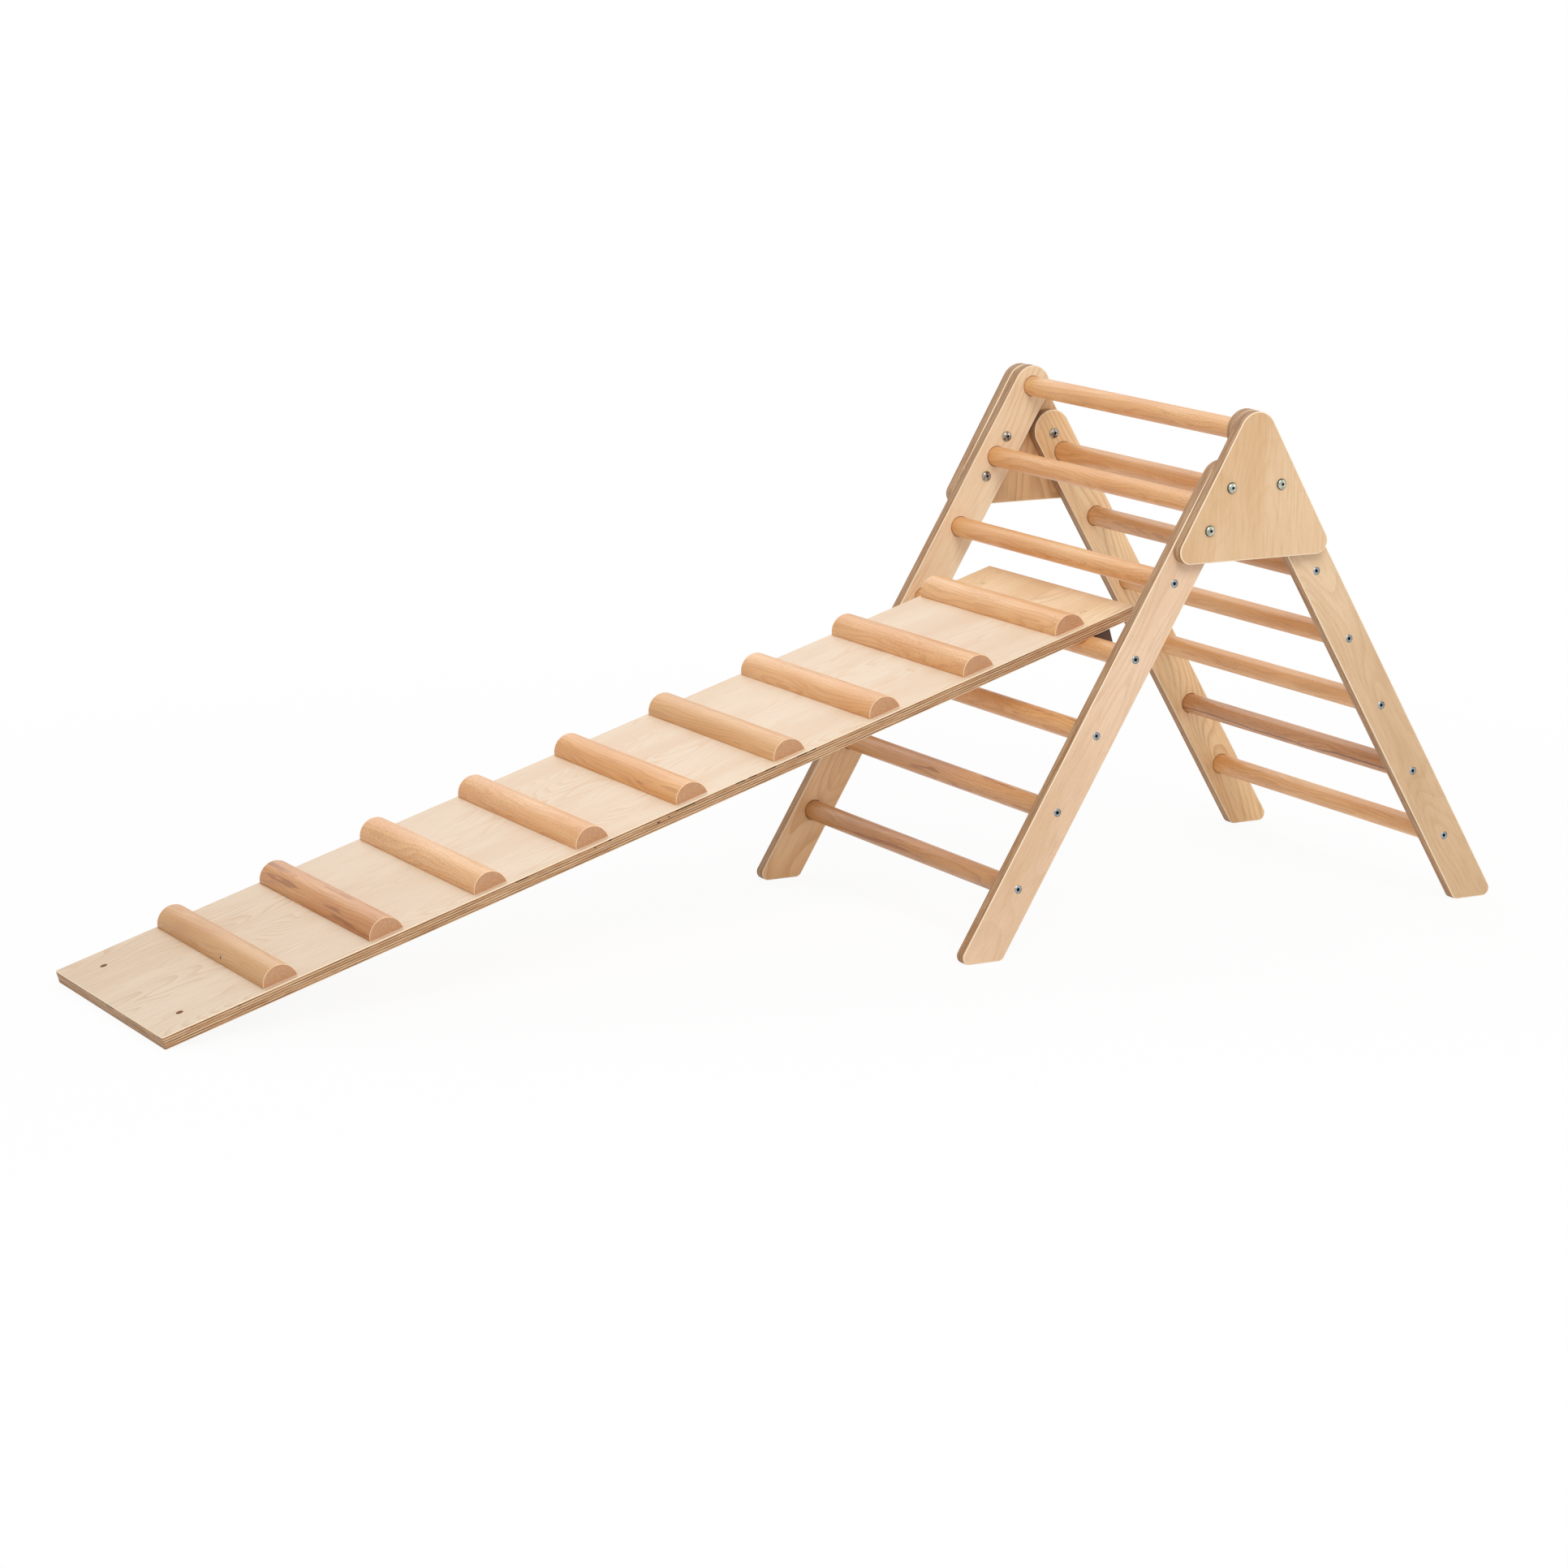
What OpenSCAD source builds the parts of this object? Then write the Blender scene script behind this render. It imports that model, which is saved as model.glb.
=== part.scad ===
// Folding climbing triangle with a hook-on ramp board.
//
// Two ladders of plywood legs and round beech rungs meet under a pair of plywood side plates.
// The front ladder is bolted to the plates and carries the top rung. The rear ladder turns on one
// bolt in each plate, so that it folds flat behind the front one. The ramp board lies on a rung of
// the front ladder, with a batten under its top end hooked behind that rung, and lifts off.
//
// X runs from the foot of the ramp to the rear ladder, Y along the rungs, from near to far, Z up.
// The origin lies on the floor, in the middle of the footprint.

/* [Boards] */
// Thickness of the plywood in the legs, the side plates and the ramp board
board_t = 18; // [15:1:22]
// Flat that eases each edge of the plywood
edge_ease = 1.5; // [0.5:0.5:2.5]

/* [Ladders] */
// Width of a leg
leg_w = 62; // [54:1:65]
// Radius of the corners of a foot
foot_r = 11; // [5:1:14]
// Clear width between the legs of a ladder
clear_w = 550; // [450:10:650]
// Diameter of a rung
rung_d = 30; // [26:1:34]
// Distance from rung to rung along a leg
rung_pitch = 120; // [116:1:140]
// Distance along a leg from the floor to the axis of its lowest rung
lowest_rung_offset = 116; // [90:1:150]
// Depth of the round recess that takes the end of a rung
rung_seat = 4; // [2:0.5:6]
// Gap all round a rung in its recess
rung_fit = 0.3; // [0.1:0.1:0.6]
// Lean of each ladder from the upright, when the triangle is open
lean = 31.1; // [29:0.1:34]
// Distance by which the rear ladder stands nearer to the front one than if they met at the top rung's axis
rear_set_in = 4.4; // [0:0.2:8]

/* [Folding head] */
// Distance along the leg from the sixth rung to each bolt through a side plate
bolt_offset = 34; // [28:1:36]
// Distance beyond its last bolt at which the round end of a short leg is centred
end_offset = 5.5; // [0:0.5:6]
// Angle by which the sides of a side plate stand steeper than the legs
plate_draw = 0.9; // [0:0.1:2]
// Depth of a side plate below its lowest bolt
plate_hem = 45.5; // [30:0.5:60]
// Radius of the lower corners of a side plate
plate_corner_r = 18; // [8:1:24]
// Gap between the side plates and the legs
plate_gap = 0.1; // [0.05:0.05:0.5]
// How much wider than a leg the block is that holds the near end of the top rung
block_extra = 1; // [0:1:8]
// Distance of each screw in that block from the rim of the block
block_screw_inset = 9; // [8:0.5:10]

/* [Ramp] */
// Length of the ramp board
ramp_len = 1545; // [1300:5:1800]
// Width of the ramp board
ramp_w = 384; // [300:1:430]
// Radius of the corners of the ramp board
ramp_corner_r = 3; // [2.5:0.5:20]
// Diameter of the round bar that the half-round cleats are ripped from
cleat_d = 50; // [40:1:60]
// Height of a cleat above the board
cleat_h = 23; // [15:1:24]
// Distance from the foot of the ramp to the middle of its lowest cleat
lowest_cleat_inset = 178; // [120:1:220]
// Distance from the top of the ramp to the middle of its highest cleat
highest_cleat_inset = 103; // [90:1:160]
// Bare board beyond the near end of a cleat
cleat_inset_near = 12; // [2:1:30]
// Bare board beyond the far end of a cleat
cleat_inset_far = 5; // [2:1:30]
// Distance of each screw under a cleat from the end of the cleat
cleat_screw_inset = 60; // [30:5:120]
// Width of the hook batten, along the ramp
hook_w = 24; // [18:1:30]
// Depth of the hook batten below the board
hook_h = 30; // [24:1:32]
// Bare board beyond each end of the hook batten
hook_end_inset = 15; // [5:1:40]
// Play between the hook batten and the rung that it hooks behind
hook_play = 3; // [2.5:0.5:6]
// Height of the ramp board above the rung that carries it
ramp_rest = 0.3; // [0.2:0.1:0.6]
// Distance of the ramp's middle beyond the middle of the ladders, towards the far side
ramp_off_centre = 6; // [-15:1:15]
// Distance of each sunk screw hole from the end of the ramp
hole_inset = 50; // [40:1:70]
// Distance of each sunk screw hole from the long edge of the ramp
hole_edge = 57; // [40:1:90]
// Diameter of a sunk screw hole
hole_d = 10; // [8:0.5:12]
// Depth of a sunk screw hole
hole_sink = 9; // [6:1:11]

/* [Fasteners] */
// Diameter of the head of a rung screw
rung_screw_head_d = 11; // [9:0.5:13]
// Diameter of the shank of a rung screw
rung_screw_d = 6.5; // [5:0.5:7]
// Length of a rung screw
rung_screw_len = 50; // [40:1:70]
// Diameter of the head of a small wood screw
wood_screw_head_d = 8; // [7:0.5:9]
// Diameter of the shank of a small wood screw
wood_screw_d = 4.5; // [3.5:0.5:5]
// Diameter of the domed heads of the bolts and sleeve nuts
bolt_head_d = 16; // [14:1:18]
// Height of the domed heads of the bolts and sleeve nuts
bolt_head_h = 4.5; // [3.5:0.5:6]
// Diameter of the barrel of a sleeve nut
sleeve_d = 9; // [8:0.5:10]
// Diameter of the bolt that screws into a sleeve nut
bolt_d = 6; // [5:0.5:6]
// Running gap all round a sleeve nut in its bore
bolt_fit = 0.05; // [0.02:0.01:0.1]
// Gap all round a screw in the board that it passes through
screw_fit = 0.1; // [0.05:0.05:0.3]
// Size across the flats of the hex socket in each bolt, sleeve nut and rung screw
socket_af = 4; // [3:0.5:4]

/* [Hidden] */

$fn = 64;
outline_fn = 72;
cut = 1;                // overshoot of a cut past the face that it opens
rung_count = 6;         // rungs in each ladder, below the top rung
cleat_count = 9;
ramp_rung = 4;          // the front rung that carries the ramp
cut_rim = 1;            // straight rim of a screw's or bolt's head
screw_tip = 3;
screw_cover = 8;        // wood left beyond the tip of a screw
pan_head_h = 3;
socket_depth = 2.5;
wood_socket_af = 2.5;   // hex socket of a small wood screw
wood_socket_depth = 1.5;
sleeve_short = 4;       // bore left empty beyond the end of a sleeve nut
bolt_short = 10;        // and beyond the end of a bolt
bolt_end_gap = 1;       // thread hole left empty beyond the end of a bolt
hook_edge_r = 2;

birch = "BurlyWood";
birch_pale = "Wheat";
beech = "Peru";
dark_wood = "SaddleBrown";
zinc = "LightSteelBlue";

// Places along a leg, measured from where its centre line meets the floor
function rung_at(n) = lowest_rung_offset + (n - 1) * rung_pitch;
top_at = rung_at(rung_count + 1);
upper_bolt_at = rung_at(rung_count) + bolt_offset;
lower_bolt_at = rung_at(rung_count) - bolt_offset;
short_end_at = upper_bolt_at + end_offset;

// The height of the top rung's axis, which lies on the front legs' centre line, and how far the feet
// of each ladder stand from the point under it
apex_z = top_at * cos(lean);
front_base = top_at * sin(lean);
rear_base = front_base - rear_set_in;

// A point on the centre line of a leg, seen from the top rung's axis
function front_point(at) = [-(top_at - at) * sin(lean), -(top_at - at) * cos(lean)];
function rear_point(at) = [-front_point(at)[0] - rear_set_in, front_point(at)[1]];

plate_half_angle = lean - plate_draw;
plate_drop = plate_hem - front_point(lower_bolt_at)[1];
plate_bolt_points = [front_point(lower_bolt_at), front_point(upper_bolt_at)];
pivot_point = rear_point(upper_bolt_at);

// The ramp touches the floor at the eased lower corner of its foot and lies over the rung ramp_rung
hook_middle = ramp_len - hole_inset;
rest_at = hook_middle - hook_w / 2 - hook_play - rung_d / 2;
rest_reach = rest_at - edge_ease;
rest_gap = rung_d / 2 + ramp_rest;
ramp_angle = asin(rung_at(ramp_rung) * cos(lean) / norm([rest_reach, rest_gap]))
    + atan(rest_gap / rest_reach);
ramp_foot = front_point(rung_at(ramp_rung))[0] - rest_reach * cos(ramp_angle) - rest_gap * sin(ramp_angle);

// The ends of the footprint, seen from the top rung's axis, and where they put that axis
front_reach = -ramp_foot + edge_ease * cos(ramp_angle) + (board_t - edge_ease) * sin(ramp_angle);
toe_across = leg_w / 2 - foot_r;
toe_along = (foot_r - toe_across * sin(lean)) / cos(lean);
rear_reach = rear_base - toe_along * sin(lean) + toe_across * cos(lean) + foot_r;
apex_x = (front_reach - rear_reach) / 2;

cleat_pitch = (ramp_len - lowest_cleat_inset - highest_cleat_inset) / (cleat_count - 1);
cleat_len = ramp_w - cleat_inset_near - cleat_inset_far;
cleat_middle = (cleat_inset_near - cleat_inset_far) / 2;
cleat_screw_y = cleat_len / 2 - cleat_screw_inset;
hook_screw_y = ramp_w / 2 - hole_edge;
block_d = leg_w + block_extra;
block_screw_reach = block_d / 2 - block_screw_inset;

// The stack that a bolt passes, and how far each screw, bolt and barrel reaches into its own
stack_t = board_t + plate_gap + board_t;
cleat_screw_len = board_t + cleat_h - screw_cover;
hook_screw_len = board_t - hole_sink + hook_h - screw_cover;
block_screw_len = stack_t - screw_cover;
sleeve_len = stack_t - sleeve_short;
bolt_len = stack_t - bolt_short;

// ---------------------------------------------------------------- outlines

function unit(v) = v / norm(v);

// A convex outline whose corners are rounded: each corner's two tangent points and its circle
module rounded_outline(corners, radii) {
    n = len(corners);
    ends = [for (i = [0:n - 1])
        let (a = unit(corners[(i + n - 1) % n] - corners[i]),
             b = unit(corners[(i + 1) % n] - corners[i]),
             half = acos(a * b) / 2)
        [corners[i] + a * radii[i] / tan(half),
         corners[i] + b * radii[i] / tan(half),
         corners[i] + unit(a + b) * radii[i] / sin(half)]];
    polygon([for (i = [0:n - 1]) each (radii[i] > 0 ? [ends[i][0], ends[i][1]] : [corners[i]])]);
    for (i = [0:n - 1])
        if (radii[i] > 0) translate(ends[i][2]) circle(r = radii[i], $fn = outline_fn);
}

// A board of a convex outline, its edges eased on both faces, from z = 0 up to board_t
module eased_board() {
    hull() {
        translate([0, 0, edge_ease]) linear_extrude(board_t - 2 * edge_ease) children();
        linear_extrude(board_t) offset(delta = -edge_ease) children();
    }
}

// The outline of a leg, upright, its foot cut level with the floor: x > 0 is inside the triangle
module leg_outline(end_at) {
    half = leg_w / 2;
    foot_rise = half * tan(lean);
    rounded_outline([[-half, -foot_rise], [half, foot_rise], [half, end_at], [-half, end_at]],
                    [foot_r, foot_r, 0, 0]);
    translate([0, end_at]) circle(d = leg_w, $fn = outline_fn);
}

// The outline of a side plate, seen from the top rung's axis: its middle lies midway between the ladders
module plate_outline() {
    top_r = leg_w / 2;
    peak = top_r / sin(plate_half_angle);
    half_foot = (peak + plate_drop) * tan(plate_half_angle);
    translate([-rear_set_in / 2, 0]) rounded_outline(
        [[-half_foot, -plate_drop], [half_foot, -plate_drop], [0, peak]],
        [plate_corner_r, plate_corner_r, top_r]);
}

// ---------------------------------------------------------------- places

// A face of the ladders: children stand on the far legs' inner faces, or mirrored on the near ones
module far_side() { translate([0, clear_w / 2, 0]) children(); }
module near_side() { mirror([0, 1, 0]) far_side() children(); }
module both_sides() { far_side() children(); near_side() children(); }

// An upright ladder leaned to its place
module in_front() { translate([apex_x - front_base, 0, 0]) rotate([0, lean, 0]) children(); }
module behind() { translate([apex_x + rear_base, 0, 0]) mirror([1, 0, 0]) rotate([0, lean, 0]) children(); }

module at_apex() { translate([apex_x, 0, apex_z]) children(); }
module up_leg(at) { translate([0, 0, at]) children(); }

// The ramp's own frame: x up the board from its foot, z square to its underside
module on_ramp() {
    translate([apex_x + ramp_foot, ramp_off_centre, 0]) rotate([0, -ramp_angle, 0])
        translate([-edge_ease, 0, 0]) children();
}

// Stands a flat outline up: its y becomes height, and its thickness runs outwards from the inner face
module upright() { translate([0, board_t, 0]) rotate([90, 0, 0]) children(); }
// Points a screw or bolt, drawn along z from under its head, inwards from a face at y = depth
module inwards(depth) { translate([0, depth, 0]) rotate([90, 0, 0]) children(); }
// Points it outwards from the inner face
module outwards() { rotate([-90, 0, 0]) children(); }

// ---------------------------------------------------------------- fasteners

module hex_socket(af, depth) { cylinder(d = af / cos(30), h = depth, $fn = 6); }

// A countersunk screw from its head's face at z = 0: fit widens it into the hole that it passes
module screw_shape(head_d, shank_d, length, fit = 0) {
    cone_h = (head_d - shank_d) / 2;
    cylinder(d = head_d + 2 * fit, h = cut_rim);
    translate([0, 0, cut_rim]) cylinder(d1 = head_d + 2 * fit, d2 = shank_d + 2 * fit, h = cone_h);
    cylinder(d = shank_d + 2 * fit, h = length - screw_tip);
    translate([0, 0, length - screw_tip])
        cylinder(d1 = shank_d + 2 * fit, d2 = shank_d / 3, h = screw_tip);
}

module rung_screw_shape(fit = 0) { screw_shape(rung_screw_head_d, rung_screw_d, rung_screw_len, fit); }

module rung_screw() {
    color(zinc) difference() {
        rung_screw_shape();
        translate([0, 0, -cut]) hex_socket(socket_af, socket_depth + cut);
    }
}

module wood_screw(length) {
    color(zinc) difference() {
        screw_shape(wood_screw_head_d, wood_screw_d, length);
        translate([0, 0, -cut]) hex_socket(wood_socket_af, wood_socket_depth + cut);
    }
}

// A domed head that stands on z = 0 and rises to negative z, so that its shank runs along z
module domed_head() {
    cap_h = bolt_head_h - cut_rim;
    dome_r = (pow(bolt_head_d / 2, 2) + pow(cap_h, 2)) / (2 * cap_h);
    mirror([0, 0, 1]) intersection() {
        cylinder(d = bolt_head_d, h = bolt_head_h);
        translate([0, 0, bolt_head_h - dome_r]) sphere(r = dome_r, $fn = 96);
    }
}

module head_socket() { translate([0, 0, -bolt_head_h - cut]) hex_socket(socket_af, socket_depth + cut); }

module button_bolt() {
    color(zinc) difference() {
        union() {
            domed_head();
            cylinder(d = bolt_d, h = bolt_len);
        }
        head_socket();
    }
}

module sleeve_nut() {
    color(zinc) difference() {
        union() {
            domed_head();
            cylinder(d = sleeve_d, h = sleeve_len);
        }
        head_socket();
        translate([0, 0, stack_t - bolt_len - bolt_end_gap]) cylinder(d = bolt_d, h = bolt_len);
    }
}

module bolt_bore() { translate([0, 0, -cut]) cylinder(d = sleeve_d + 2 * bolt_fit, h = board_t + 2 * cut); }

// ---------------------------------------------------------------- ladders

// A leg on the far side, upright: rungs is the number of recesses, bolts are places along it
module leg(end_at, rungs, bolts) {
    color(birch) difference() {
        upright() eased_board() leg_outline(end_at);
        for (n = [1:rungs]) up_leg(rung_at(n)) {
            translate([0, -cut, 0]) outwards() cylinder(d = rung_d + 2 * rung_fit, h = rung_seat + cut);
            inwards(board_t) rung_screw_shape(screw_fit);
            inwards(board_t + cut) cylinder(d = rung_screw_head_d + 2 * screw_fit, h = cut + cut_rim);
        }
        for (at = bolts) up_leg(at) outwards() bolt_bore();
    }
}

module front_leg_far() {
    in_front() far_side() leg(top_at, rung_count + 1, [lower_bolt_at, upper_bolt_at]);
}
module front_leg_near() {
    in_front() near_side() leg(short_end_at, rung_count, [lower_bolt_at, upper_bolt_at]);
}
module rear_leg_far() { behind() far_side() leg(short_end_at, rung_count, [upper_bolt_at]); }
module rear_leg_near() { behind() near_side() leg(short_end_at, rung_count, [upper_bolt_at]); }

// A rung lying along y, with a pilot hole in each end for its screw
module rung() {
    color(beech) difference() {
        rotate([90, 0, 0]) cylinder(d = rung_d, h = clear_w + 2 * rung_seat, center = true);
        both_sides() inwards(board_t) rung_screw_shape();
    }
}

module front_rung(n) { in_front() up_leg(rung_at(n)) rung(); }
module rear_rung(n) { behind() up_leg(rung_at(n)) rung(); }
module top_rung() { at_apex() rung(); }

module rung_screws() {
    for (n = [1:rung_count]) up_leg(rung_at(n)) both_sides() inwards(board_t) rung_screw();
}
module front_rung_screws() { in_front() rung_screws(); }
module rear_rung_screws() { behind() rung_screws(); }
module top_rung_screws() { at_apex() both_sides() inwards(board_t) rung_screw(); }

// ---------------------------------------------------------------- folding head

// A side plate on the far side, outside the legs
module side_plate() {
    color(birch_pale) at_apex() far_side() translate([0, board_t + plate_gap, 0]) difference() {
        upright() eased_board() plate_outline();
        for (p = concat(plate_bolt_points, [pivot_point]))
            translate([p[0], 0, p[1]]) outwards() bolt_bore();
    }
}
module side_plate_far() { side_plate(); }
module side_plate_near() {
    color(birch_pale) difference() {
        mirror([0, 1, 0]) side_plate();
        at_apex() near_side() block_screw_places()
            screw_shape(wood_screw_head_d, wood_screw_d, block_screw_len);
    }
}

// The round block in line with the legs, which holds the near end of the top rung to the plate
module apex_block() {
    r = block_d / 2;
    color(birch) at_apex() near_side() difference() {
        outwards() rotate_extrude($fn = outline_fn)
            polygon([[0, 0], [r - edge_ease, 0], [r, edge_ease],
                     [r, board_t - edge_ease], [r - edge_ease, board_t], [0, board_t]]);
        translate([0, -cut, 0]) outwards() cylinder(d = rung_d + 2 * rung_fit, h = rung_seat + cut);
        inwards(board_t) rung_screw_shape(screw_fit);
        block_screw_places() screw_shape(wood_screw_head_d, wood_screw_d, block_screw_len, screw_fit);
    }
}

// Two screws beside the top rung, from the block's inner face into the plate
module block_screw_places() {
    for (side = [-1, 1]) translate([side * block_screw_reach, 0, 0]) outwards() children();
}
module apex_block_screws() {
    at_apex() near_side() block_screw_places() wood_screw(block_screw_len);
}

// Bolts stand on the plates' outer faces and sleeve nuts on the legs' inner faces, at given points
module bolts_at(points) {
    for (p = points) at_apex() both_sides() translate([p[0], 0, p[1]]) inwards(stack_t) button_bolt();
}
module sleeve_nuts_at(points) {
    for (p = points) at_apex() both_sides() translate([p[0], 0, p[1]]) outwards() sleeve_nut();
}
module plate_bolts() { bolts_at(plate_bolt_points); }
module plate_sleeve_nuts() { sleeve_nuts_at(plate_bolt_points); }
module pivot_bolts() { bolts_at([pivot_point]); }
module pivot_sleeve_nuts() { sleeve_nuts_at([pivot_point]); }

// ---------------------------------------------------------------- ramp

// Screw holes near both ends of the ramp: the top pair holds the hook batten, the foot's pair is spare
module ramp_holes(ends) {
    for (x = ends, side = [-1, 1]) translate([x, side * hook_screw_y, 0]) children();
}

module cleat_screw_places() {
    for (n = [1:cleat_count], side = [-1, 1])
        translate([cleat_at(n), cleat_middle + side * cleat_screw_y, 0]) children();
}
function cleat_at(n) = lowest_cleat_inset + (n - 1) * cleat_pitch;

module ramp_board() {
    color(birch_pale) on_ramp() difference() {
        eased_board() rounded_outline(
            [[0, -ramp_w / 2], [ramp_len, -ramp_w / 2], [ramp_len, ramp_w / 2], [0, ramp_w / 2]],
            [ramp_corner_r, ramp_corner_r, ramp_corner_r, ramp_corner_r]);
        ramp_holes([hole_inset, hook_middle]) {
            translate([0, 0, board_t - hole_sink]) cylinder(d = hole_d, h = hole_sink + cut);
            translate([0, 0, -cut]) cylinder(d = wood_screw_d + 2 * screw_fit, h = board_t);
        }
        cleat_screw_places() {
            screw_shape(wood_screw_head_d, wood_screw_d, cleat_screw_len, screw_fit);
            translate([0, 0, -cut]) cylinder(d = wood_screw_head_d + 2 * screw_fit, h = cut + cut_rim);
        }
    }
}

// A half-round cleat, ripped from a round bar a little above its middle
module ramp_cleat(n) {
    color(beech) on_ramp() difference() {
        translate([cleat_at(n), cleat_middle + cleat_len / 2, board_t]) rotate([90, 0, 0])
            linear_extrude(cleat_len) difference() {
                translate([0, cleat_h - cleat_d / 2]) circle(d = cleat_d);
                translate([-cleat_d, -2 * cleat_d]) square(2 * cleat_d);
            }
        cleat_screw_places() screw_shape(wood_screw_head_d, wood_screw_d, cleat_screw_len);
    }
}

module ramp_cleat_screws() { on_ramp() cleat_screw_places() wood_screw(cleat_screw_len); }

// The batten under the top end, which hooks behind the rung
module ramp_hook() {
    length = ramp_w - 2 * hook_end_inset;
    color(dark_wood) on_ramp() difference() {
        translate([hook_middle, length / 2, -hook_h]) rotate([90, 0, 0]) linear_extrude(length)
            rounded_outline([[-hook_w / 2, 0], [hook_w / 2, 0], [hook_w / 2, hook_h], [-hook_w / 2, hook_h]],
                            [hook_edge_r, hook_edge_r, 0, 0]);
        hook_screw_shapes();
    }
}

// Pan-head screws that stand on the bottoms of the sunk holes
module hook_screw_shapes() {
    ramp_holes([hook_middle]) translate([0, 0, board_t - hole_sink]) mirror([0, 0, 1])
        cylinder(d = wood_screw_d, h = hook_screw_len);
}
module ramp_hook_screws() {
    color(zinc) on_ramp() difference() {
        union() {
            hook_screw_shapes();
            ramp_holes([hook_middle]) translate([0, 0, board_t - hole_sink])
                cylinder(d = hole_d - 1, h = pan_head_h);
        }
        ramp_holes([hook_middle]) translate([0, 0, board_t - hole_sink + pan_head_h / 3])
            hex_socket(socket_af, pan_head_h);
    }
}

// ---------------------------------------------------------------- the assembly

front_leg_far();
front_leg_near();
rear_leg_far();
rear_leg_near();
side_plate_far();
side_plate_near();
apex_block();
top_rung();
for (n = [1:rung_count]) front_rung(n);
for (n = [1:rung_count]) rear_rung(n);
front_rung_screws();
rear_rung_screws();
top_rung_screws();
apex_block_screws();
plate_bolts();
plate_sleeve_nuts();
pivot_bolts();
pivot_sleeve_nuts();
ramp_board();
for (n = [1:cleat_count]) ramp_cleat(n);
ramp_cleat_screws();
ramp_hook();
ramp_hook_screws();
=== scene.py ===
import math

import bmesh
import bpy
import numpy as np
from mathutils import Matrix, Vector
from mathutils.geometry import tessellate_polygon


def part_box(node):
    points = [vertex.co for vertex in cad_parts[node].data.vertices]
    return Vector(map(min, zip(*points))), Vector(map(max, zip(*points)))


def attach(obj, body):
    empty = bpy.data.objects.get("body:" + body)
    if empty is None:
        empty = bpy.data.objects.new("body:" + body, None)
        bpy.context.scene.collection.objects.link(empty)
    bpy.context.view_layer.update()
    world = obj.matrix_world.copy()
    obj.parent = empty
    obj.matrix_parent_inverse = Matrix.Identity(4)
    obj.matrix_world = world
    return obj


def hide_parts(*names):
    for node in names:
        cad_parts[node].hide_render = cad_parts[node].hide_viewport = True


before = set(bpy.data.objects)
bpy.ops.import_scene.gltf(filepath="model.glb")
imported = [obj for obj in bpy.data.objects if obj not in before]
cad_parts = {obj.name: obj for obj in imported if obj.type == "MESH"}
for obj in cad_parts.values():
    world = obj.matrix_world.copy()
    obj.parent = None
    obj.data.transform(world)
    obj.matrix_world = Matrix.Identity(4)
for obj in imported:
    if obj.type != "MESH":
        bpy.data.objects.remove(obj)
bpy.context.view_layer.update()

# ---------------------------------------------------------------- camera, floor and light
# The triangle and its ramp stand on a plain white studio floor, seen from in front of the ramp's
# long edge. The camera's place is measured from the axis of the top rung. A white room and three
# soft panels light the wood from all round.


def axis_of(rung):
    """The middle of a rung: halfway between its box's lowest and highest corners, at y = 0."""
    low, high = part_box(rung)
    return np.array([(low.x + high.x) / 2, 0.0, (low.z + high.z) / 2])


APEX = axis_of("top_rung")

lens = bpy.data.cameras.new("studio_camera")
lens.sensor_width, lens.lens = 36, 102.554
lens.clip_start, lens.clip_end = 0.1, 60
camera = bpy.data.objects.new("studio_camera", lens)
bpy.context.scene.collection.objects.link(camera)
camera_place = (APEX[0] - 3.6346, -5.3666, 1.5523)
turn, dip, roll = math.radians(-29.644), math.radians(-12.238), math.radians(0.564)
ahead = Vector((-math.sin(turn) * math.cos(dip), math.cos(turn) * math.cos(dip), math.sin(dip)))
level = Vector((math.cos(turn), math.sin(turn), 0))
above = level.cross(ahead)
across = level * math.cos(roll) + above * math.sin(roll)
upward = above * math.cos(roll) - level * math.sin(roll)
aimed = Matrix((across, upward, -ahead)).transposed().to_4x4()
camera.matrix_world = Matrix.Translation(camera_place) @ aimed
bpy.context.scene.camera = camera
bpy.context.scene.view_settings.view_transform = "Standard"


def paint(red, green, blue):
    """A colour read off a paint chart, 0 to 255, as the linear colour that a shader takes: a straight
    line near black, and a power of 2.4 above it."""
    part = np.array([red, green, blue]) / 255
    return tuple(np.where(part <= 0.04045, part / 12.92, ((part + 0.055) / 1.055) ** 2.4)) + (1.0,)


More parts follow.
